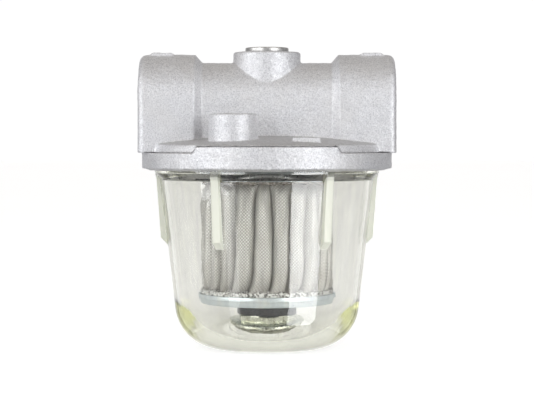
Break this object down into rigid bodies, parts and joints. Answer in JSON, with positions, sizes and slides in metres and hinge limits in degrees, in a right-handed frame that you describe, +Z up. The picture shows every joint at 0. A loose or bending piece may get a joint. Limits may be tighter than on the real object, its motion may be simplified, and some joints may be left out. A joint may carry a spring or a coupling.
{
  "type": "in-line bowl filter",
  "caption": "In-line filter: cast head with two threaded ports, clear screw-on bowl, pleated mesh cartridge, ring magnet and spring.",
  "frame": {"origin": "middle of the bowl's foot, on the bowl's axis", "axes": "+Z up along the bowl's axis, +X along the port axis towards the outlet, -Y towards the side with the small front boss"},
  "size_m": [0.096, 0.0946, 0.1137],
  "materials": {
    "cast_aluminium": "as cast, fine grain",
    "turned_steel": "turned",
    "black_rubber": "matte",
    "clear_plastic": "clear, slightly yellow-green",
    "gasket_fibre": "matte",
    "zinc_plate": "bright zinc plate",
    "resin": "cured resin",
    "stainless": "rolled sheet",
    "woven_steel": "woven wire cloth",
    "ferrite": "ground ferrite",
    "spring_steel": "drawn wire"
  },
  "bodies": {
    "head": {"head_casting": "cast_aluminium"},
    "cartridge": {"top_gasket": "gasket_fibre", "top_cap": "zinc_plate", "top_potting": "resin", "core_tube": "stainless", "pleated_mesh": "woven_steel", "mesh_seam": "stainless", "bottom_potting": "resin", "bottom_cap": "zinc_plate", "clamp_bolt": "zinc_plate", "bolt_washer": "gasket_fibre", "pole_washer": "zinc_plate", "ring_magnet": "ferrite", "flange_nut": "zinc_plate", "spring": "spring_steel"},
    "bowl": {"bowl": "clear_plastic", "bowl_o_ring": "black_rubber"},
    "vent_seal": {"vent_plug_seal": "black_rubber"},
    "vent_plug": {"vent_plug": "turned_steel"},
    "gauge_seal": {"gauge_plug_seal": "black_rubber"},
    "gauge_plug": {"gauge_plug": "turned_steel"}
  },
  "joints": [
    {"name": "bowl_drop", "type": "slide", "parent": "head", "child": "cartridge", "axis": [0, 0, -1], "range_m": [0, 0.00601]},
    {"name": "bowl_turn", "type": "hinge", "parent": "cartridge", "child": "bowl", "pos_m": [0, 0, 0.05], "axis": [0, 0, -1], "range_deg": [0, 720]},
    {"name": "vent_plug_lift", "type": "slide", "parent": "head", "child": "vent_seal", "axis": [0, 0, 1], "range_m": [0, 0.00669]},
    {"name": "vent_plug_turn", "type": "hinge", "parent": "vent_seal", "child": "vent_plug", "pos_m": [0, 0, 0.11], "axis": [0, 0, 1], "range_deg": [0, 1800]},
    {"name": "gauge_plug_lift", "type": "slide", "parent": "head", "child": "gauge_seal", "axis": [0, 0, 1], "range_m": [0, 0.00455]},
    {"name": "gauge_plug_turn", "type": "hinge", "parent": "gauge_seal", "child": "gauge_plug", "pos_m": [-0.0123, -0.0266, 0.085], "axis": [0, 0, 1], "range_deg": [0, 1800]}
  ],
  "couplings": [
    {"joint": "bowl_drop", "follows": "bowl_turn", "m_per_rad": 0.00047746},
    {"joint": "vent_plug_lift", "follows": "vent_plug_turn", "m_per_rad": 0.00021279},
    {"joint": "gauge_plug_lift", "follows": "gauge_plug_turn", "m_per_rad": 0.00014435}
  ]
}
